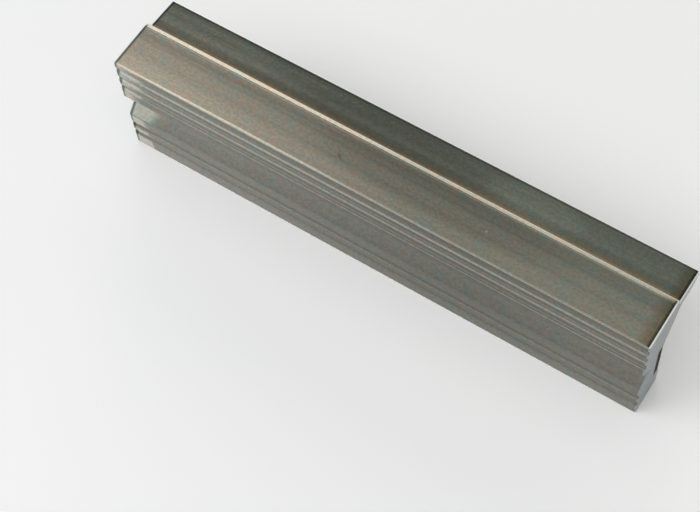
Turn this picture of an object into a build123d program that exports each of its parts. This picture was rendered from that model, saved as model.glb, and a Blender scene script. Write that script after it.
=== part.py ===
from build123d import *
import os
from math import radians, tan

# A soft jaw cap for a bench vise: one aluminium extrusion, sawn to length, with a
# magnet strip let into its back. Millimetres, +X along the jaw, +Z up.
# The work face looks to -Y and the flange reaches to +Y over the vise's own jaw.
# The origin is the middle of the box round the part, on the bottom face.
# Depths are measured from the work face and heights from the bottom face.

# Bar
jaw_length = 150.0
jaw_height = 36.5
body_depth = 10.7
end_chamfer = 0.35

# Head and flange
head_depth = 14.9
step_down = 2.3
flange_reach = 24.5
flange_thickness = 3.4
flange_fall_degrees = 4.0
flange_edge_thickness = 0.8

# Prism: the wide V in the work face that grips round stock
prism_centre_height = 17.45
prism_depth = 4.2
prism_angle_degrees = 90.0

# Grip grooves above and below the prism
groove_width = 2.65
groove_depth = 0.55
groove_pitch = 3.7
land_beside_prism = 3.0
least_land_at_edge = 1.5

# Magnet strip and its slot in the back
strip_height = 14.2
strip_thickness = 2.6
strip_side_gap = 0.15
strip_recess = 0.3
strip_setback = 0.2
strip_edge_radius = 0.3
foot_height = 6.25

# Haunch: the slope that carries the flange, from just above the slot
ledge_above_slot = 1.25
haunch_reach = 5.7

# Corner radii of the die
head_front_radius = 0.5
head_back_radius = 1.9
step_foot_radius = 0.3
least_riser = 0.1
flange_edge_radius = 0.5
flange_heel_radius = 0.8
haunch_root_radius = 2.0
haunch_foot_radius = 1.0
bottom_radius = 0.5
prism_lip_radius = 0.5
prism_root_radius = 0.4
groove_lip_radius = 0.15
slot_mouth_radius = 0.45

# Heights and depths that follow
flange_root_height = jaw_height - step_down
flange_fall = (flange_reach - head_depth) * tan(radians(flange_fall_degrees))
flange_tip_height = flange_root_height - flange_fall
underside_height = flange_root_height - flange_thickness
tip_bottom_height = flange_tip_height - flange_edge_thickness
bevel_run = tip_bottom_height - underside_height
ridge_radius = min(head_back_radius, step_down - step_foot_radius - least_riser)

strip_bottom_height = foot_height + strip_side_gap
slot_height = strip_height + 2 * strip_side_gap
slot_top_height = foot_height + slot_height
slot_depth = strip_thickness + strip_recess
slot_wall_depth = body_depth - slot_depth
haunch_foot_height = slot_top_height + ledge_above_slot
haunch_top_depth = body_depth + haunch_reach

prism_half_opening = prism_depth * tan(radians(prism_angle_degrees / 2))
prism_lip_heights = [
    prism_centre_height + prism_half_opening,
    prism_centre_height - prism_half_opening,
]
groove_radius = (groove_width**2 / 4 + groove_depth**2) / (2 * groove_depth)


def corners_at(shape, places):
    """The corners of a flat shape that lie at the given places."""
    return [shape.vertices().sort_by_distance(Vector(*place))[0] for place in places]


def round_corners(shape, places, radius):
    """The flat shape with the corners at these places rounded."""
    return fillet(corners_at(shape, places), radius=radius)


def groove_heights():
    """Centres of the grip grooves: as many as the face holds on each side of the prism."""
    first = prism_half_opening + land_beside_prism + groove_width / 2
    edge = least_land_at_edge + groove_width / 2
    room_above = jaw_height - edge - (prism_centre_height + first)
    room_below = prism_centre_height - first - edge
    heights = []
    if room_above >= 0:
        for step in range(int(room_above / groove_pitch) + 1):
            heights.append(prism_centre_height + first + step * groove_pitch)
    if room_below >= 0:
        for step in range(int(room_below / groove_pitch) + 1):
            heights.append(prism_centre_height - first - step * groove_pitch)
    return heights


def outer_form():
    """Body, head, haunch and flange as one outline. Only the flange's top edge stays sharp."""
    bottom_front = (0, 0)
    bottom_back = (body_depth, 0)
    haunch_foot = (body_depth, haunch_foot_height)
    haunch_root = (haunch_top_depth, underside_height)
    flange_heel = (flange_reach - bevel_run, underside_height)
    tip_bottom = (flange_reach, tip_bottom_height)
    tip_top = (flange_reach, flange_tip_height)
    step_foot = (head_depth, flange_root_height)
    head_back = (head_depth, jaw_height)
    head_front = (0, jaw_height)
    outline = Polyline(
        bottom_front,
        bottom_back,
        haunch_foot,
        haunch_root,
        flange_heel,
        tip_bottom,
        tip_top,
        step_foot,
        head_back,
        head_front,
        close=True,
    )
    shape = make_face(outline)
    shape = round_corners(shape, [bottom_front, bottom_back], bottom_radius)
    shape = round_corners(shape, [haunch_foot], haunch_foot_radius)
    shape = round_corners(shape, [haunch_root], haunch_root_radius)
    shape = round_corners(shape, [flange_heel], flange_heel_radius)
    shape = round_corners(shape, [tip_bottom], flange_edge_radius)
    shape = round_corners(shape, [step_foot], step_foot_radius)
    shape = round_corners(shape, [head_back], ridge_radius)
    shape = round_corners(shape, [head_front], head_front_radius)
    return shape


def cut_prism(shape):
    """Cut the V into the work face and round its root and lips."""
    root = (prism_depth, prism_centre_height)
    lips = [(0, height) for height in prism_lip_heights]
    overrun = prism_depth
    reach = (prism_depth + overrun) * tan(radians(prism_angle_degrees / 2))
    wedge = Polyline(
        root,
        (-overrun, prism_centre_height + reach),
        (-overrun, prism_centre_height - reach),
        close=True,
    )
    shape = shape - make_face(wedge)
    shape = round_corners(shape, [root], prism_root_radius)
    return round_corners(shape, lips, prism_lip_radius)


def cut_slot(shape):
    """Cut the square slot for the magnet strip into the back."""
    overrun = ledge_above_slot / 2
    slot = Polyline(
        (slot_wall_depth, foot_height),
        (body_depth + overrun, foot_height),
        (body_depth + overrun, slot_top_height),
        (slot_wall_depth, slot_top_height),
        close=True,
    )
    shape = shape - make_face(slot)
    mouth = [(body_depth, foot_height), (body_depth, slot_top_height)]
    return round_corners(shape, mouth, slot_mouth_radius)


def jaw_section():
    """The section before its grip grooves: depth from the work face, height from the bottom."""
    return cut_slot(cut_prism(outer_form()))


def along_jaw(section, length):
    """A section drawn out along X, centred, and shifted so that the box is centred in Y."""
    placed = Plane.YZ * Pos(-flange_reach / 2, 0) * section
    return extrude(placed, amount=length / 2, both=True)


def sawn_bar():
    """The bar cut to length, with the burr taken off all round both ends."""
    bar = along_jaw(jaw_section(), jaw_length)
    ends = [bar.faces().sort_by(Axis.X)[0], bar.faces().sort_by(Axis.X)[-1]]
    rims = [edge for end in ends for edge in end.outer_wire().edges()]
    return chamfer(rims, end_chamfer)


def cut_grooves(bar):
    """Cut the hollow grip grooves along the work face, through both ends, and break their lips."""
    overrun = 2 * end_chamfer
    places = []
    for height in groove_heights():
        section = Pos(groove_depth - groove_radius, height) * Circle(groove_radius)
        bar = bar - along_jaw(section, jaw_length + overrun)
        for side in (1, -1):
            places.append(Vector(0, -flange_reach / 2, height + side * groove_width / 2))
    if not places:
        return bar
    long_edges = bar.edges().filter_by(Axis.X)
    lips = [long_edges.sort_by_distance(place)[0] for place in places]
    return fillet(lips, groove_lip_radius)


def make_jaw():
    """The finished bar."""
    return cut_grooves(sawn_bar())


def make_strip():
    """The magnet strip: its inner face seats on the slot's wall."""
    middle_depth = slot_wall_depth + strip_thickness / 2
    middle_height = strip_bottom_height + strip_height / 2
    outline = RectangleRounded(strip_thickness, strip_height, strip_edge_radius)
    section = Pos(middle_depth, middle_height) * outline
    return along_jaw(section, jaw_length - 2 * strip_setback)


pieces = {
    "jaw_extrusion": make_jaw(),
    "magnet_strip": make_strip(),
}

os.makedirs("parts", exist_ok=True)
for name, piece in pieces.items():
    export_step(piece, f"parts/{name}.step")
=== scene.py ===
import math

import bpy
from bpy.props import FloatProperty, FloatVectorProperty, PointerProperty
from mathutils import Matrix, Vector


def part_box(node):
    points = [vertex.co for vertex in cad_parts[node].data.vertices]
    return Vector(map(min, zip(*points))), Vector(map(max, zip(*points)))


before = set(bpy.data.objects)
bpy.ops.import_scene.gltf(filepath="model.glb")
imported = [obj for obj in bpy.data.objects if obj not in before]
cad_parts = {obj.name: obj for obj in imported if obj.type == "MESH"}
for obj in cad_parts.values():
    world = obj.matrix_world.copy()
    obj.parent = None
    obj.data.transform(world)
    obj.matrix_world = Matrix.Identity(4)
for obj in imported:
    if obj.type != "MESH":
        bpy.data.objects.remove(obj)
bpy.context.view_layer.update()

bl_info = {
    "name": "Vise Jaw Cap",
    "version": (1, 0, 0),
    "blender": (4, 5, 0),
    "location": "3D View > Sidebar > Jaw Cap",
    "description": "Finishes a vise jaw cap and its magnet strip, and lights it on a table",
    "category": "Object",
}

MM = 0.001
MICRON = 0.000001
BAR = "jaw_extrusion"
STRIP = "magnet_strip"

# The box of the construction model, kept from before anything is added
BAR_LOW, BAR_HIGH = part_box(BAR)

# Half the bar's length, and how far the work face is from the middle, in millimetres
BAR_END = BAR_HIGH.x / MM
WORK_FACE = BAR_LOW.y / MM

# Node settings that are used again and again
SMOOTH = {"interpolation_type": "SMOOTHSTEP"}
BLEND = {"data_type": "RGBA"}
TINT = {"data_type": "RGBA", "blend_type": "MULTIPLY"}

# Patterns of the skin, as lengths along the bar and widths across it, in millimetres. The specks
# are drawn several times coarser than real ones, which wouldn't show.
FINE_LINE_LENGTH = 220
BROAD_LINE = (400, 2.6)
WARM_PATCH = (3.4, 2.1)
COOL_PATCH = (2.8, 1.8)
SPECK = (0.9, 0.7)

# Moves the cool patches, so that they fall elsewhere than the warm ones
COOL_SHIFT = (300, 70, 40)

# Values of a noise between which a patch, a shade, a saw mark and a speck of powder come in
PATCH_RANGE = (0.45, 0.75)
SHADE_RANGE = (0.3, 0.7)
SAW_RANGE = (0.35, 0.7)
POWDER_RANGE = (0.52, 0.75)

# How dark and how light the broad lines and the specks make the skin, and what the broad lines
# add to its roughness
LINE_SHADES = (0.95, 1.04)
SPECK_SHADES = (0.92, 1.09)
LINE_ROUGHNESS = (-0.02, 0.04)

# How much of its normal a face turns along the bar to count as an end, and upward to count as
# the top or as the filed bevel of an end, and the height in millimetres above which that lies
END_FACING = 0.5
TOP_FACING = 0.9
FILED_FACING = 0.5
FILED_HEIGHT = 30.0

# Distances from an end, in millimetres, between which the brown stain and a dark line of painted
# shade on top come in, and a dark line of painted shade round the work face at the left end fades
# out. That one also reaches into the V, to this depth.
STAIN_REACH = (5, 0.5)
EDGE_SHADE_REACH = (1.2, 0.7)
LEFT_EDGE_SHADE_REACH = (0.8, 1.2)
LEFT_EDGE_SHADE_DEPTH = 4.4

# Centre of the round blade that cut the ends, in millimetres, and shade of its deeper marks
BLADE_CENTRE = (0, -190, 160)
SAW_SHADE = 0.88

# How many times lighter than the strip its specks of powder are, and how far they stand out
POWDER_GAIN = 2.2
POWDER_HEIGHT = 10 * MICRON

# Marks on the skin, most of them painted highlights and painted shade: centre and long half axis
# in millimetres, narrow half axis, and change of red, green and blue
MARKS_AND_PAINTED_LIGHT = (
    # A dent in the head, painted as a dark spot of shade, and a painted glint on a nick
    ((-11.6, -5.9, 36.5), (0.75, -0.65, 0), 0.5, (0.74, 0.74, 0.74)),
    ((28.8, -5.4, 36.5), (0.3, 0, 0), 0.3, (1.6, 1.6, 1.6)),
    # Painted shade in a band along the head, and painted highlight on the start and middle of its
    # rounding
    ((0, -1.95, 36.5), (120, 0, 0), 1.3, (0.88, 0.88, 0.88)),
    ((0, 0.8, 36.5), (120, 0, 0), 0.4, (1.5, 1.5, 1.5)),
    ((0, 1.95, 36.2), (120, 0, 0), 0.35, (1.3, 1.26, 1.26)),
    # Painted highlight at the foot of the step, a warm brown tint beside it, and a darker line
    # along the back edge of the flange
    ((0, 3.3, 34.15), (120, 0, 0), 0.42, (1.3, 1.26, 1.24)),
    ((0, 3.9, 34.1), (120, 0, 0), 1.0, (1.18, 1.0, 0.88)),
    ((0, 12.1, 33.54), (120, 0, 0), 0.5, (0.55, 0.58, 0.58)),
    # Painted highlight on the left part of the head's front edge
    ((-40, -12.05, 36.35), (33, 0, 0), 0.4, (1.22, 1.24, 1.24)),
    # A broad faint darker patch on the head, then one on the flange and a lighter patch on each
    # side
    ((14, -3.5, 36.5), (36, 0, 0), 6.0, (0.86, 0.86, 0.86)),
    ((-4, 6.5, 34.0), (27, 0, 0), 5.5, (0.84, 0.84, 0.84)),
    ((35, 8.0, 33.85), (13, 0, 0), 4.5, (1.2, 1.2, 1.2)),
    ((-62, 8.0, 33.85), (24, 0, 0), 4.5, (1.2, 1.2, 1.2)),
)

# Squared distances from a mark's centre, counted in its half axes and in millimetres of height,
# between which it fades out
MARK_FADE = (0.4, 1.4)

# Half the width of the table top, in metres, and the gap that keeps it off the bar's bottom face
TABLE_HALF = 6.0
TABLE_GAP = 0.02 * MM

# Soft panel lamps: where each one is, what it is aimed at and its size, all in metres, and how
# bright its face would look, where 1 is white
PANELS = {
    "overhead_panel": ((-0.1, -0.6, 1.0), (-0.1, -0.3, 0), (1.4, 0.9), 0.85),
    "rear_panel": ((-1.4, 1.5, 0.5), (-0.2, 0, 0), (1.8, 0.9), 0.85),
    "left_panel": ((-0.9, -0.6, 0.9), (-0.05, 0, 0), (0.8, 0.8), 1.05),
}

# A panel's face looks as bright as a quarter of its watts for each square metre
PANEL_WATTS = 4

# How far from upright the two walls of the room start, and are fully light
BACK_WALL_STARTS = (math.radians(39), math.radians(48))
FRONT_WALL_STARTS = (math.radians(52), math.radians(60))

# Sideways part of a direction, negative to the left, between which each part of the room changes
CEILING_SIDE = (-0.5, -0.25)
WALL_SIDE = (-0.55, -0.1)
UNLIT_SIDE = (-0.3, -0.2)
FAR_LEFT_SIDE = (-0.72, -0.52)
RIGHT_SIDE = (0.45, 0.75)
RIGHT_WALL_SIDE = (0.78, 0.9)

# Share of the light that is left at the far left, and how many times brighter the unlit part of
# the room is to the right of UNLIT_SIDE
FAR_LEFT_SHARE = 0.4
UNLIT_GAIN = 1.35

# The folded card in front of the bar: its gap to the bar, how high it lies above the table, its
# height, and how far past the left end of the bar it reaches at the bar, where it stops short of
# that end, at the fold, and at the top of its upright leaf, which slants up to the shoulder
CARD_GAP = 19 * MM
CARD_CLEARANCE = 0.3 * MM
CARD_HEIGHT = 32.5 * MM
CARD_SHOULDER = 20 * MM
CARD_OVERHANGS = (-6 * MM, 22 * MM, 3.2 * MM)

# Glow of the upright leaf at some heights, in millimetres, and the height where that leaf starts
LEAF_GLOW = (
    (0, 0.29),
    (6, 0.29),
    (9, 0.44),
    (15, 0.44),
    (19, 0.28),
    (25.5, 0.28),
    (28.5, 0.56),
    (30, 0.54),
    (32.5, 0.38),
)
LEAF_START = 0.5

# Glow of the lying leaf: two distances from the bar in millimetres, and the glow at each
LYING_GLOW = (-6, 25, 0.37, 0.23)

# How many times brighter the card glows along the bar, as parts that add up: two places in
# millimetres, and the part at each
CARD_GAINS = (
    (-95, 30, 1.27, 0.84),
    (20, 65, 0, 0.1),
    (-95, -78, 0.35, 0),
)


def linear(hex_colour):
    """The linear red, green and blue of an sRGB colour written as six hex digits."""
    channels = []
    for start in (1, 3, 5):
        value = int(hex_colour[start:start + 2], 16) / 255
        if value <= 0.04045:
            channels.append(value / 12.92)
        else:
            channels.append(((value + 0.055) / 1.055) ** 2.4)
    return channels


def opaque(colour):
    """A colour as the four numbers that a socket takes."""
    return (*colour, 1.0)


def add_node(tree, kind, *inputs, **named):
    """
    Add a shader node with its settings and links.

    The inputs fill its sockets in order. Of the named values, one in small letters is a setting
    of the node, and any other is a socket. A value is a number, a colour, an output of a node, or
    a node, which stands for its first output.
    """
    node = tree.nodes.new("ShaderNode" + kind)
    for name in filter(str.islower, named):
        setattr(node, name, named[name])
    pairs = list(zip((socket for socket in node.inputs if socket.enabled), inputs))
    for name, value in named.items():
        if not name.islower():
            pairs.append((node.inputs[name.replace("_", " ")], value))
    for socket, value in pairs:
        if isinstance(value, bpy.types.Node):
            value = next(output for output in value.outputs if output.enabled)
        if isinstance(value, bpy.types.NodeSocket):
            tree.links.new(value, socket)
        else:
            socket.default_value = value
    return node


def new_material(name):
    """A material and its empty node tree."""
    material = bpy.data.materials.new(name)
    material.use_nodes = True
    material.node_tree.nodes.clear()
    return material, material.node_tree


def dress(node_name, material):
    """Give a node of the construction model its finish."""
    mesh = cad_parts[node_name].data
    mesh.materials.clear()
    mesh.materials.append(material)


class MillFinishSettings(bpy.types.PropertyGroup):
    """Aluminium as it leaves the extrusion die, and its sawn ends."""

    colour: FloatVectorProperty(
        name="Metal",
        description="Oxidised, slightly oily skin of the extrusion",
        subtype="COLOR",
        default=linear("#C8C3B6"),
    )
    warm_stain: FloatVectorProperty(
        name="Warm stain",
        description="Dried oil on the skin",
        subtype="COLOR",
        default=linear("#D0BFB1"),
    )
    cool_stain: FloatVectorProperty(
        name="Cool stain",
        description="Places where the skin is thinner",
        subtype="COLOR",
        default=linear("#B9C5BF"),
    )
    roughness: FloatProperty(
        name="Roughness",
        description="Roughness of the skin between the die lines",
        subtype="FACTOR",
        min=0,
        max=1,
        default=0.15,
    )
    # A die's own lines are about 0.1 mm apart, which wouldn't show, so they are drawn coarser
    line_spacing: FloatProperty(
        name="Die line spacing",
        description="Distance between the fine lines that the die draws along the bar",
        subtype="DISTANCE",
        unit="LENGTH",
        default=0.55 * MM,
    )
    line_depth: FloatProperty(
        name="Die line depth",
        description="Depth of the fine lines",
        subtype="DISTANCE",
        unit="LENGTH",
        default=2 * MICRON,
    )
    cut_stain: FloatVectorProperty(
        name="Stain at the cut",
        description="Brown stain on top, in the last millimetres before the right end",
        subtype="COLOR",
        default=linear("#DACCBC"),
    )
    # Painted shade: a dark line along the top edges near both ends, and round the work face at the
    # left end
    edge_painted_shade: FloatVectorProperty(
        name="Burr",
        description="Dark line of the burr that the saw rolled over the top edge",
        subtype="COLOR",
        default=linear("#9AA8A6"),
    )
    sawn_colour: FloatVectorProperty(
        name="Sawn metal",
        description="Freshly cut metal at the two ends",
        subtype="COLOR",
        default=linear("#969DA0"),
    )
    # Painted highlight: the filed bevel along the upper edges of the ends is painted near white
    # where it catches the light
    filed_highlight_colour: FloatVectorProperty(
        name="Filed metal",
        description="Bright metal where a file took the burr off the upper edges of the ends",
        subtype="COLOR",
        default=linear("#E2E5E4"),
    )
    sawn_roughness: FloatProperty(
        name="Sawn roughness",
        description="Roughness of the two ends",
        subtype="FACTOR",
        min=0,
        max=1,
        default=0.35,
    )
    # A fine blade's marks are about 0.1 mm apart, so these are drawn coarser too
    saw_pitch: FloatProperty(
        name="Saw mark pitch",
        description="Distance between the marks of the saw's teeth on the ends",
        subtype="DISTANCE",
        unit="LENGTH",
        default=0.3 * MM,
    )
    saw_depth: FloatProperty(
        name="Saw mark depth",
        description="Depth of the saw marks",
        subtype="DISTANCE",
        unit="LENGTH",
        default=1.5 * MICRON,
    )


class MagnetSettings(bpy.types.PropertyGroup):
    """The plastic-bonded magnet strip."""

    colour: FloatVectorProperty(
        name="Magnet",
        description="Plastic filled with black ferrite powder",
        subtype="COLOR",
        default=linear("#1B1B1D"),
    )
    roughness: FloatProperty(
        name="Roughness",
        description="Roughness of the calendered strip",
        subtype="FACTOR",
        min=0,
        max=1,
        default=0.75,
    )
    gloss: FloatProperty(
        name="Gloss",
        description="How much the strip mirrors. Powder at its surface makes that less than 0.5",
        subtype="FACTOR",
        min=0,
        max=1,
        default=0.25,
    )
    # The powder is finer than 0.01 mm, so its specks are drawn as coarse as they need to show
    grain: FloatProperty(
        name="Grain",
        description="Size of the grey specks of powder",
        subtype="DISTANCE",
        unit="LENGTH",
        default=0.4 * MM,
    )


class StageSettings(bpy.types.PropertyGroup):
    """Table, room, card and camera."""

    table_colour: FloatVectorProperty(
        name="Table",
        description="Pale table top",
        subtype="COLOR",
        default=linear("#F7F8FB"),
    )
    table_lift: FloatProperty(
        name="Table lift",
        description="How much lighter the table looks to the camera and in the metal",
        min=0,
        default=0.08,
    )
    lit_colour: FloatVectorProperty(
        name="Lit white",
        description="Warm white of the lit ceiling and of the back and right walls",
        subtype="COLOR",
        default=linear("#FFF2E8"),
    )
    unlit_colour: FloatVectorProperty(
        name="Unlit white",
        description="Cool white of what no lamp lights",
        subtype="COLOR",
        default=linear("#ECFFF8"),
    )
    far_colour: FloatVectorProperty(
        name="Far white",
        description="Cool white of the far left of the room",
        subtype="COLOR",
        default=linear("#E6F1FF"),
    )
    front_colour: FloatVectorProperty(
        name="Front white",
        description="Neutral white of the wall in front of the bar, and of the card's glow",
        subtype="COLOR",
        default=linear("#FBFFFF"),
    )
    ceiling_level: FloatProperty(
        name="Ceiling in front",
        description="Brightness of the ceiling over and in front of the bar, where 1 is white",
        min=0,
        default=0.315,
    )
    back_wall_level: FloatProperty(
        name="Back wall",
        description="Brightness of the wall behind the bar",
        min=0,
        default=0.5,
    )
    front_wall_level: FloatProperty(
        name="Front wall",
        description="Brightness of the wall in front of the bar",
        min=0,
        default=0.33,
    )
    right_wall_level: FloatProperty(
        name="Right wall",
        description="Brightness of the wall to the right of the bar",
        min=0,
        default=1.0,
    )
    unlit_level: FloatProperty(
        name="Unlit room",
        description="Brightness of what no lamp lights, such as the ceiling behind the bar",
        min=0,
        default=0.135,
    )
    ceiling_gain: FloatProperty(
        name="Left of the ceiling",
        description="How many times brighter the ceiling is on the left",
        min=0,
        default=3.8,
    )
    back_wall_gain: FloatProperty(
        name="Left of the back wall",
        description="How many times brighter the back wall is on the left",
        min=0,
        default=2.8,
    )
    front_wall_gain: FloatProperty(
        name="Left of the front wall",
        description="How many times brighter the front wall is on the left",
        min=0,
        default=2.15,
    )
    edge_angle: FloatProperty(
        name="Edge of the light",
        description="How far behind upright the light part of the ceiling ends",
        subtype="ANGLE",
        unit="ROTATION",
        default=math.radians(25.15),
    )
    edge_blur: FloatProperty(
        name="Blur of the edge",
        description="Angle over which the light part of the ceiling turns dark",
        subtype="ANGLE",
        unit="ROTATION",
        default=math.radians(2),
    )
    lens: FloatProperty(
        name="Lens",
        description="Focal length on a 36 mm sensor",
        unit="CAMERA",
        default=86.5,
    )
    camera_place: FloatVectorProperty(
        name="Camera place",
        description="Where the camera stands",
        subtype="TRANSLATION",
        unit="LENGTH",
        default=(121.6 * MM, -169.8 * MM, 378.6 * MM),
    )
    camera_turn: FloatVectorProperty(
        name="Camera turn",
        description="How the camera is turned",
        subtype="EULER",
        unit="ROTATION",
        default=[math.radians(angle) for angle in (28.10, 3.29, 33.09)],
    )


def place_in_mm(tree):
    """The surface's own place, in millimetres."""
    place = add_node(tree, "TexCoord").outputs["Object"]
    return add_node(tree, "VectorMath", place, 1 / MM, operation="SCALE")


def patches(tree, place, along, across, **look):
    """Noise in patches of a size in millimetres: along the bar, and across it."""
    size = (1 / along, 1 / across, 1 / across)
    stretched = add_node(tree, "VectorMath", place, size, operation="MULTIPLY")
    return add_node(tree, "TexNoise", Vector=stretched, Scale=1.0, **look)


def blade_arcs(tree, place, pitch):
    """Noise in arcs about a far point in the plane of the ends, as a round saw blade leaves it."""
    flat = add_node(tree, "VectorMath", place, (0, 1, 1), operation="MULTIPLY")
    reach = add_node(tree, "VectorMath", flat, BLADE_CENTRE, operation="DISTANCE")
    turns = add_node(tree, "Math", reach, pitch, operation="DIVIDE")
    return add_node(tree, "TexNoise", noise_dimensions="1D", W=turns, Scale=1.0, Detail=3.0)


def mark(tree, place, centre, long_axis, narrow):
    """Share of an oval mark, from its centre and its half axes in millimetres."""
    offset = add_node(tree, "VectorMath", place, centre, operation="SUBTRACT")
    up = Vector((0, 0, 1))
    long_half = Vector(long_axis).length
    along = Vector(long_axis) / long_half
    across = up.cross(Vector(long_axis)) / long_half
    squares = 0.0
    for axis in (along / long_half, across / narrow, up):
        part = add_node(tree, "VectorMath", offset, axis, operation="DOT_PRODUCT")
        square = add_node(tree, "Math", part, part, operation="MULTIPLY")
        squares = add_node(tree, "Math", squares, square, operation="ADD")
    return add_node(tree, "MapRange", squares, *MARK_FADE, 1.0, 0.0, **SMOOTH)


def stained_skin(tree, place, broad_lines, settings):
    """Colour of the skin: warm and cool stains, under the broad lines and a fine speckle."""
    shifted = add_node(tree, "VectorMath", place, COOL_SHIFT, operation="ADD")
    warm = patches(tree, place, *WARM_PATCH, Detail=3.0)
    cool = patches(tree, shifted, *COOL_PATCH, Detail=3.0)
    skin = opaque(settings.colour)
    for patch, stain in ((warm, settings.warm_stain), (cool, settings.cool_stain)):
        share = add_node(tree, "MapRange", patch, *PATCH_RANGE, **SMOOTH)
        skin = add_node(tree, "Mix", share, skin, opaque(stain), **BLEND)
    specks = patches(tree, place, *SPECK)
    line_shade = add_node(tree, "MapRange", broad_lines, *SHADE_RANGE, *LINE_SHADES, **SMOOTH)
    speck_shade = add_node(tree, "MapRange", specks, *SHADE_RANGE, *SPECK_SHADES, **SMOOTH)
    shade = add_node(tree, "Math", line_shade, speck_shade, operation="MULTIPLY")
    grey = add_node(tree, "CombineColor", shade, shade, shade)
    return add_node(tree, "Mix", 1.0, skin, grey, **TINT)


def marked_at_cuts(tree, place, normal_z, skin, settings):
    """The skin with its brown stain at the right end, and a dark line of painted shade at both."""
    along, depth, _ = add_node(tree, "SeparateXYZ", place).outputs
    from_middle = add_node(tree, "Math", along, operation="ABSOLUTE")
    is_top = add_node(tree, "Math", normal_z, TOP_FACING, operation="GREATER_THAN")
    stain_range = [BAR_END - reach for reach in STAIN_REACH]
    edge_shade_range = [BAR_END - reach for reach in EDGE_SHADE_REACH]
    left_range = [reach - BAR_END for reach in LEFT_EDGE_SHADE_REACH]

    stain = add_node(tree, "MapRange", along, *stain_range, **SMOOTH)
    stain = add_node(tree, "Math", is_top, stain, operation="MULTIPLY")
    skin = add_node(tree, "Mix", stain, skin, opaque(settings.cut_stain), **TINT)

    # Painted shade: a dark line along the top edges near both ends, and round the work face and
    # into the V at the left end
    edge_shade = add_node(tree, "MapRange", from_middle, *edge_shade_range, **SMOOTH)
    edge_shade = add_node(tree, "Math", is_top, edge_shade, operation="MULTIPLY")
    in_face = add_node(tree, "Math", depth, WORK_FACE + LEFT_EDGE_SHADE_DEPTH, operation="LESS_THAN")
    left_edge_shade = add_node(tree, "MapRange", along, *left_range, 1.0, 0.0, **SMOOTH)
    left_edge_shade = add_node(tree, "Math", in_face, left_edge_shade, operation="MULTIPLY")
    edge_shade = add_node(tree, "Math", edge_shade, left_edge_shade, operation="MAXIMUM")
    return add_node(tree, "Mix", edge_shade, skin, opaque(settings.edge_painted_shade), **TINT)


def sawn_metal(tree, place, normal_z, saw_marks, settings):
    """Colour of the ends: cut metal with the blade's arcs, and a painted highlight on the filed
    bevel at the top.
    """
    deep = add_node(tree, "MapRange", saw_marks, *SAW_RANGE, **SMOOTH)
    deep_colour = [SAW_SHADE * channel for channel in settings.sawn_colour]
    cut = add_node(tree, "Mix", deep, opaque(settings.sawn_colour), opaque(deep_colour), **BLEND)
    height = add_node(tree, "SeparateXYZ", place).outputs["Z"]
    # Painted highlight on the filed bevel near the top of each end
    is_bevel = add_node(tree, "Math", normal_z, FILED_FACING, operation="GREATER_THAN")
    is_high = add_node(tree, "Math", height, FILED_HEIGHT, operation="GREATER_THAN")
    bevel_highlight = add_node(tree, "Math", is_bevel, is_high, operation="MULTIPLY")
    return add_node(tree, "Mix", bevel_highlight, cut, opaque(settings.filed_highlight_colour), **BLEND)


def mill_finish(settings):
    """
    Extruded aluminium in mill finish: a dull skin with lines drawn along it by the die.

    The eye gets a soft grey sheen that is broken into long streaks and a fine speckle, with
    mottled warm and cool stains from oil and oxide. The sawn ends are darker, cooler and
    rougher, with the saw's arcs, a dark line of painted shade beside them and a painted
    highlight on the filed bevel.
    """
    material, tree = new_material("mill_finish_aluminium")
    place = place_in_mm(tree)
    normal = add_node(tree, "TexCoord").outputs["Normal"]
    normal_x, _, normal_z = add_node(tree, "SeparateXYZ", normal).outputs
    spacing = settings.line_spacing / MM
    fine_lines = patches(tree, place, FINE_LINE_LENGTH, spacing, Detail=3.0, Roughness=0.6)
    broad_lines = patches(tree, place, *BROAD_LINE)
    saw_marks = blade_arcs(tree, place, settings.saw_pitch / MM)

    skin = stained_skin(tree, place, broad_lines, settings)
    skin = marked_at_cuts(tree, place, normal_z, skin, settings)
    # Marks on the skin, most of them painted highlights and painted shade
    for centre, long_axis, narrow, change in MARKS_AND_PAINTED_LIGHT:
        share = mark(tree, place, centre, long_axis, narrow)
        skin = add_node(tree, "Mix", share, skin, opaque(change), **TINT)
    cut = sawn_metal(tree, place, normal_z, saw_marks, settings)
    along_bar = add_node(tree, "Math", normal_x, operation="ABSOLUTE")
    is_end = add_node(tree, "Math", along_bar, END_FACING, operation="GREATER_THAN")
    colour = add_node(tree, "Mix", is_end, skin, cut, **BLEND)

    skin_roughness = [settings.roughness + change for change in LINE_ROUGHNESS]
    roughness = add_node(tree, "MapRange", broad_lines, *SHADE_RANGE, *skin_roughness, **SMOOTH)
    roughness = add_node(tree, "Mix", is_end, roughness, settings.sawn_roughness)
    end_marks = add_node(tree, "Math", saw_marks, is_end, operation="MULTIPLY")
    line_relief = add_node(tree, "Bump", Distance=settings.line_depth, Height=fine_lines)
    saw_relief = add_node(
        tree, "Bump", Distance=settings.saw_depth, Height=end_marks, Normal=line_relief
    )
    shader = add_node(
        tree,
        "BsdfPrincipled",
        Base_Color=colour,
        Metallic=1.0,
        Roughness=roughness,
        Normal=saw_relief,
    )
    add_node(tree, "OutputMaterial", Surface=shader)
    return material


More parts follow.
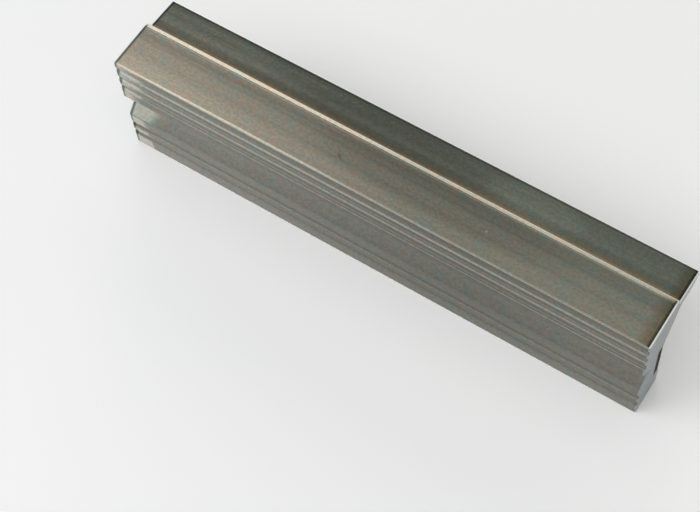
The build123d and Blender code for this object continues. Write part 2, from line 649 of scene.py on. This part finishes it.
def bonded_magnet(settings):
    """
    Plastic-bonded ferrite, calendered to a strip: black, matt and slightly grainy.

    The eye gets a flat near-black with a few grey specks of powder.
    """
    material, tree = new_material("bonded_magnet")
    grain = settings.grain / MM
    specks = patches(tree, place_in_mm(tree), grain, grain, Detail=4.0, Roughness=0.7)
    powder = [POWDER_GAIN * channel for channel in settings.colour]
    share = add_node(tree, "MapRange", specks, *POWDER_RANGE, **SMOOTH)
    colour = add_node(tree, "Mix", share, opaque(settings.colour), opaque(powder), **BLEND)
    shader = add_node(
        tree,
        "BsdfPrincipled",
        Base_Color=colour,
        Roughness=settings.roughness,
        Specular_IOR_Level=settings.gloss,
        Normal=add_node(tree, "Bump", Distance=POWDER_HEIGHT, Height=specks),
    )
    add_node(tree, "OutputMaterial", Surface=shader)
    return material


def add_table(settings):
    """
    A large pale table top, just under the bar.

    It is matt laminate. The eye gets a plain, soft white with the bar's shadow on it, which is
    lifted a little where the camera or a reflection sees it.
    """
    mesh = bpy.data.meshes.new("table_top")
    signs = ((-1, -1), (1, -1), (1, 1), (-1, 1))
    corners = [(x * TABLE_HALF, y * TABLE_HALF, 0) for x, y in signs]
    mesh.from_pydata(corners, [], [(0, 1, 2, 3)])
    table = bpy.data.objects.new("table_top", mesh)
    table.location.z = BAR_LOW.z - TABLE_GAP
    bpy.context.scene.collection.objects.link(table)
    material, tree = new_material("matt_laminate")
    path = add_node(tree, "LightPath").outputs
    seen = 0.0
    for ray in ("Is Camera Ray", "Is Glossy Ray", "Is Transmission Ray"):
        seen = add_node(tree, "Math", seen, path[ray], operation="MAXIMUM")
    shader = add_node(
        tree,
        "BsdfPrincipled",
        Base_Color=opaque(settings.table_colour),
        Roughness=0.9,
        Emission_Color=opaque(linear("#FFFFFF")),
        Emission_Strength=add_node(tree, "Math", seen, settings.table_lift, operation="MULTIPLY"),
    )
    add_node(tree, "OutputMaterial", Surface=shader)
    mesh.materials.append(material)


def add_panel(name, place, aim, size, level):
    """A soft panel lamp that lights matt surfaces. The metal mirrors the room and not the lamp."""
    light = bpy.data.lights.new(name, "AREA")
    light.shape = "RECTANGLE"
    light.size, light.size_y = size
    light.energy = level * PANEL_WATTS * size[0] * size[1]
    lamp = bpy.data.objects.new(name, light)
    lamp.location = place
    lamp.rotation_euler = (Vector(aim) - Vector(place)).to_track_quat("-Z", "Y").to_euler()
    lamp.visible_glossy = False
    bpy.context.scene.collection.objects.link(lamp)


def room_light(tree, x, lean_back, in_front, settings):
    """Brightness of the lit ceiling and of the walls, from how far left and back each one is."""
    edge, half_blur = settings.edge_angle, settings.edge_blur / 2
    edge_range = (edge - half_blur, edge + half_blur)
    ceiling = add_node(
        tree, "MapRange", lean_back, *edge_range, settings.ceiling_level, 0.0, **SMOOTH
    )
    not_in_front = add_node(tree, "Math", 1.0, in_front, operation="SUBTRACT")
    ceiling = add_node(tree, "Math", ceiling, not_in_front, operation="MULTIPLY")
    back_wall = add_node(
        tree, "MapRange", lean_back, *BACK_WALL_STARTS, 0.0, settings.back_wall_level, **SMOOTH
    )
    front_wall = add_node(tree, "Math", in_front, settings.front_wall_level, operation="MULTIPLY")
    light = 0.0
    for level, side, gain in (
        (ceiling, CEILING_SIDE, settings.ceiling_gain),
        (back_wall, WALL_SIDE, settings.back_wall_gain),
        (front_wall, WALL_SIDE, settings.front_wall_gain),
    ):
        left_gain = add_node(tree, "MapRange", x, *side, gain, 1.0, **SMOOTH)
        level = add_node(tree, "Math", level, left_gain, operation="MULTIPLY")
        light = add_node(tree, "Math", level, light, operation="MAXIMUM")
    for side, left_share, right_share in (
        (FAR_LEFT_SIDE, FAR_LEFT_SHARE, 1.0),
        (RIGHT_SIDE, 1.0, 0.0),
    ):
        share = add_node(tree, "MapRange", x, *side, left_share, right_share, **SMOOTH)
        light = add_node(tree, "Math", light, share, operation="MULTIPLY")
    right_wall = add_node(
        tree, "MapRange", x, *RIGHT_WALL_SIDE, 0.0, settings.right_wall_level, **SMOOTH
    )
    return add_node(tree, "Math", light, right_wall, operation="ADD")


def add_room(settings):
    """
    The room round the table: light walls low down, and a ceiling that is lit in front of the bar
    and dark behind it.

    The light comes from the left, and is dimmer and cooler at the far left. It fades out to the
    right, as far as a light wall at the far right.
    """
    world = bpy.data.worlds.new("room")
    world.use_nodes = True
    tree = world.node_tree
    tree.nodes.clear()
    direction = add_node(tree, "TexCoord").outputs["Generated"]
    x, y, z = add_node(tree, "SeparateXYZ", direction).outputs
    lean_back = add_node(tree, "Math", y, z, operation="ARCTAN2")
    lean_front = add_node(tree, "Math", lean_back, -1.0, operation="MULTIPLY")
    in_front = add_node(tree, "MapRange", lean_front, *FRONT_WALL_STARTS, **SMOOTH)
    far_left = add_node(tree, "MapRange", x, *FAR_LEFT_SIDE, 1.0, 0.0, **SMOOTH)

    lit_colour = opaque(settings.lit_colour)
    for share, colour in ((in_front, settings.front_colour), (far_left, settings.far_colour)):
        lit_colour = add_node(tree, "Mix", share, lit_colour, opaque(colour), **BLEND)
    light = room_light(tree, x, lean_back, in_front, settings)
    lit = add_node(tree, "Background", Color=lit_colour, Strength=light)
    unlit_levels = (settings.unlit_level, UNLIT_GAIN * settings.unlit_level)
    unlit_light = add_node(tree, "MapRange", x, *UNLIT_SIDE, *unlit_levels, **SMOOTH)
    unlit = add_node(tree, "Background", Color=opaque(settings.unlit_colour), Strength=unlit_light)
    add_node(tree, "OutputWorld", Surface=add_node(tree, "AddShader", lit, unlit))
    bpy.context.scene.world = world


def upright_glow(tree, height):
    """Glow of the card's upright leaf, by straight lines between the heights of LEAF_GLOW."""
    top = LEAF_GLOW[-1][0]
    share = add_node(tree, "Math", height, top, operation="DIVIDE")
    ramp = add_node(tree, "ValToRGB", share)
    stops = ramp.color_ramp.elements
    while len(stops) < len(LEAF_GLOW):
        stops.new(0.5)
    for stop, (stop_height, glow) in zip(stops, LEAF_GLOW):
        stop.position = stop_height / top
        stop.color = opaque((glow, glow, glow))
    return ramp


def add_card(settings):
    """
    A folded card in front of the work face, one leaf on the table and one upright.

    It glows softly, more on the left. Only reflections see it: it keeps the metal from mirroring
    nothing but white table.
    """
    front = BAR_LOW.y - CARD_GAP
    at_bar, at_fold, at_top = (BAR_LOW.x - overhang for overhang in CARD_OVERHANGS)
    mesh = bpy.data.meshes.new("folded_card")
    corners = [
        (at_bar, BAR_LOW.y, CARD_CLEARANCE),
        (BAR_HIGH.x, BAR_LOW.y, CARD_CLEARANCE),
        (BAR_HIGH.x, front, CARD_CLEARANCE),
        (at_fold, front, CARD_CLEARANCE),
        (at_top, front, CARD_SHOULDER),
        (at_top, front, CARD_HEIGHT),
        (BAR_HIGH.x, front, CARD_HEIGHT),
    ]
    mesh.from_pydata(corners, [], [(0, 1, 2, 3), (3, 2, 6, 5, 4)])
    card = bpy.data.objects.new("folded_card", mesh)
    card.visible_camera = False
    card.visible_diffuse = False
    card.visible_shadow = False
    bpy.context.scene.collection.objects.link(card)

    material, tree = new_material("card_glow")
    x, y, z = add_node(tree, "SeparateXYZ", place_in_mm(tree)).outputs
    from_bar = add_node(tree, "Math", WORK_FACE, y, operation="SUBTRACT")
    lying = add_node(tree, "MapRange", from_bar, *LYING_GLOW, **SMOOTH)
    is_upright = add_node(tree, "Math", z, LEAF_START, operation="GREATER_THAN")
    glow = add_node(tree, "Mix", is_upright, lying, upright_glow(tree, z))
    gain = 0.0
    for part in CARD_GAINS:
        share = add_node(tree, "MapRange", x, *part, **SMOOTH)
        gain = add_node(tree, "Math", gain, share, operation="ADD")
    glow = add_node(tree, "Math", glow, gain, operation="MULTIPLY")
    shader = add_node(tree, "Emission", Color=opaque(settings.front_colour), Strength=glow)
    add_node(tree, "OutputMaterial", Surface=shader)
    mesh.materials.append(material)


def add_camera(settings):
    """The camera at the place and angle of the photograph."""
    camera = bpy.data.cameras.new("camera")
    camera.sensor_width = 36
    camera.lens = settings.lens
    camera.clip_start = 0.01
    camera.clip_end = 20
    holder = bpy.data.objects.new("camera", camera)
    holder.location = settings.camera_place
    holder.rotation_euler = settings.camera_turn
    bpy.context.scene.collection.objects.link(holder)
    bpy.context.scene.camera = holder


class JAWCAP_OT_finish_bar(bpy.types.Operator):
    """Give the extruded bar its mill finish and its sawn ends"""

    bl_idname = "jaw_cap.finish_bar"
    bl_label = "Finish the bar"

    def execute(self, context):
        dress(BAR, mill_finish(context.scene.jaw_cap_metal))
        return {"FINISHED"}


class JAWCAP_OT_finish_strip(bpy.types.Operator):
    """Give the magnet strip its black finish"""

    bl_idname = "jaw_cap.finish_strip"
    bl_label = "Finish the magnet strip"

    def execute(self, context):
        dress(STRIP, bonded_magnet(context.scene.jaw_cap_magnet))
        return {"FINISHED"}


class JAWCAP_OT_set_stage(bpy.types.Operator):
    """Set up the table, the room, the card, the lamps and the camera"""

    bl_idname = "jaw_cap.set_stage"
    bl_label = "Set the stage"

    def execute(self, context):
        settings = context.scene.jaw_cap_stage
        context.scene.view_settings.view_transform = "Standard"
        add_table(settings)
        add_room(settings)
        add_card(settings)
        for name, panel in PANELS.items():
            add_panel(name, *panel)
        add_camera(settings)
        return {"FINISHED"}


class JAWCAP_PT_panel(bpy.types.Panel):
    """Settings and steps of the jaw cap"""

    bl_idname = "JAWCAP_PT_panel"
    bl_label = "Jaw Cap"
    bl_space_type = "VIEW_3D"
    bl_region_type = "UI"
    bl_category = "Jaw Cap"

    def draw(self, context):
        steps = (
            (context.scene.jaw_cap_metal, JAWCAP_OT_finish_bar),
            (context.scene.jaw_cap_magnet, JAWCAP_OT_finish_strip),
            (context.scene.jaw_cap_stage, JAWCAP_OT_set_stage),
        )
        for settings, step in steps:
            box = self.layout.box()
            for name in settings.__annotations__:
                box.prop(settings, name)
            box.operator(step.bl_idname)


CLASSES = (
    MillFinishSettings,
    MagnetSettings,
    StageSettings,
    JAWCAP_OT_finish_bar,
    JAWCAP_OT_finish_strip,
    JAWCAP_OT_set_stage,
    JAWCAP_PT_panel,
)


def register():
    """Register the settings, the steps and the panel."""
    for cls in CLASSES:
        bpy.utils.register_class(cls)
    bpy.types.Scene.jaw_cap_metal = PointerProperty(type=MillFinishSettings)
    bpy.types.Scene.jaw_cap_magnet = PointerProperty(type=MagnetSettings)
    bpy.types.Scene.jaw_cap_stage = PointerProperty(type=StageSettings)


def unregister():
    """Take away what register added."""
    del bpy.types.Scene.jaw_cap_stage
    del bpy.types.Scene.jaw_cap_magnet
    del bpy.types.Scene.jaw_cap_metal
    for cls in reversed(CLASSES):
        bpy.utils.unregister_class(cls)


def main():
    """Build the whole scene."""
    register()
    bpy.ops.jaw_cap.set_stage()
    bpy.ops.jaw_cap.finish_bar()
    bpy.ops.jaw_cap.finish_strip()


if __name__ == "__main__":
    main()
